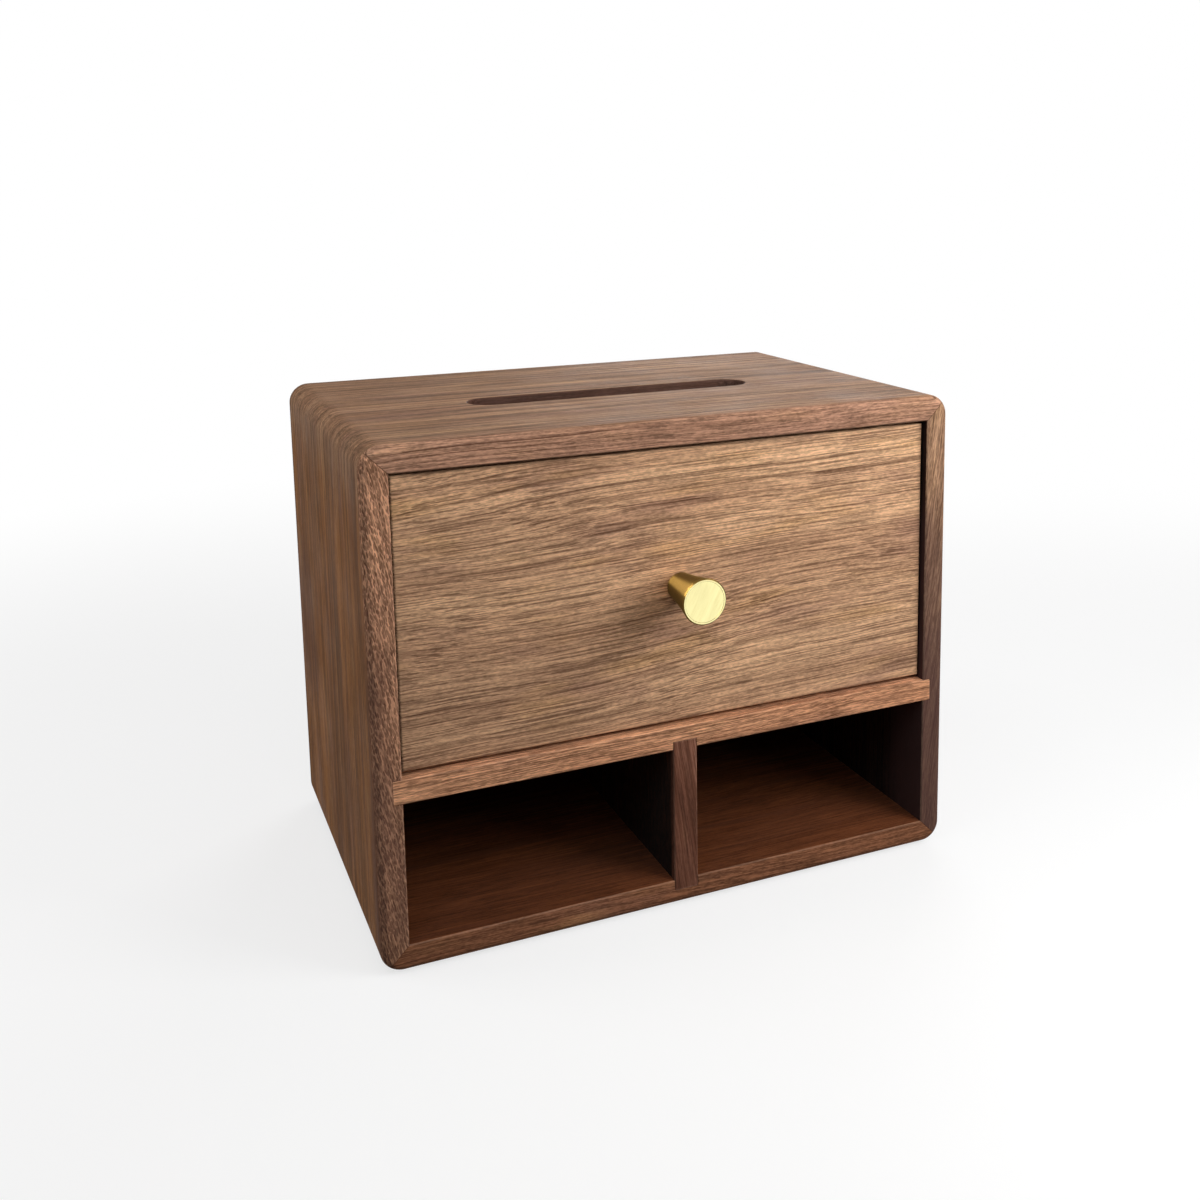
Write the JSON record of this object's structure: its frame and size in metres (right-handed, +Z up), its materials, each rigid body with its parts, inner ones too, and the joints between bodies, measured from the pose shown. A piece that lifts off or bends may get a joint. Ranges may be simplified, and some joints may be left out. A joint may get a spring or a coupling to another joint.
{
  "type": "tissue box with drawer",
  "caption": "Walnut tissue box with a tissue slot in the top, a sliding drawer for the tissues with a brass knob, and open cubbies below a shelf.",
  "frame": {"origin": "middle of the bounding box's footprint, on the table under the foot pads", "axes": "+X to the right seen from the front, +Y to the back, +Z up; the drawer opens towards -Y"},
  "size_m": [0.26, 0.195, 0.212],
  "materials": {
    "walnut_case": "oiled satin, open grain",
    "walnut_shelf": "oiled satin, open grain",
    "walnut_divider": "oiled satin, open grain",
    "walnut_panel": "oiled veneer on plywood",
    "walnut_drawer_front": "oiled satin, open grain",
    "walnut_drawer_box": "oiled satin, open grain",
    "hardwood_spline": "plain, glued in",
    "knob_brass": "satin turned, unlacquered",
    "screw_steel": "zinc plated",
    "rubber_pad": "matt"
  },
  "bodies": {
    "case": {"case_top": "walnut_case", "case_bottom": "walnut_case", "case_left_side": "walnut_case", "case_right_side": "walnut_case", "mitre_spline_top_left": "hardwood_spline", "mitre_spline_top_right": "hardwood_spline", "mitre_spline_bottom_right": "hardwood_spline", "mitre_spline_bottom_left": "hardwood_spline", "shelf": "walnut_shelf", "divider": "walnut_divider", "back_panel": "walnut_panel", "foot_pad_front_left": "rubber_pad", "foot_pad_front_right": "rubber_pad", "foot_pad_back_left": "rubber_pad", "foot_pad_back_right": "rubber_pad"},
    "drawer": {"drawer_front": "walnut_drawer_front", "drawer_left_side": "walnut_drawer_box", "drawer_right_side": "walnut_drawer_box", "drawer_back": "walnut_drawer_box", "drawer_bottom": "walnut_panel", "knob": "knob_brass", "knob_screw": "screw_steel", "knob_washer": "screw_steel"}
  },
  "joints": [
    {"name": "drawer_slide", "type": "slide", "parent": "case", "child": "drawer", "axis": [0, -1, 0], "range_m": [0, 0.12]}
  ]
}
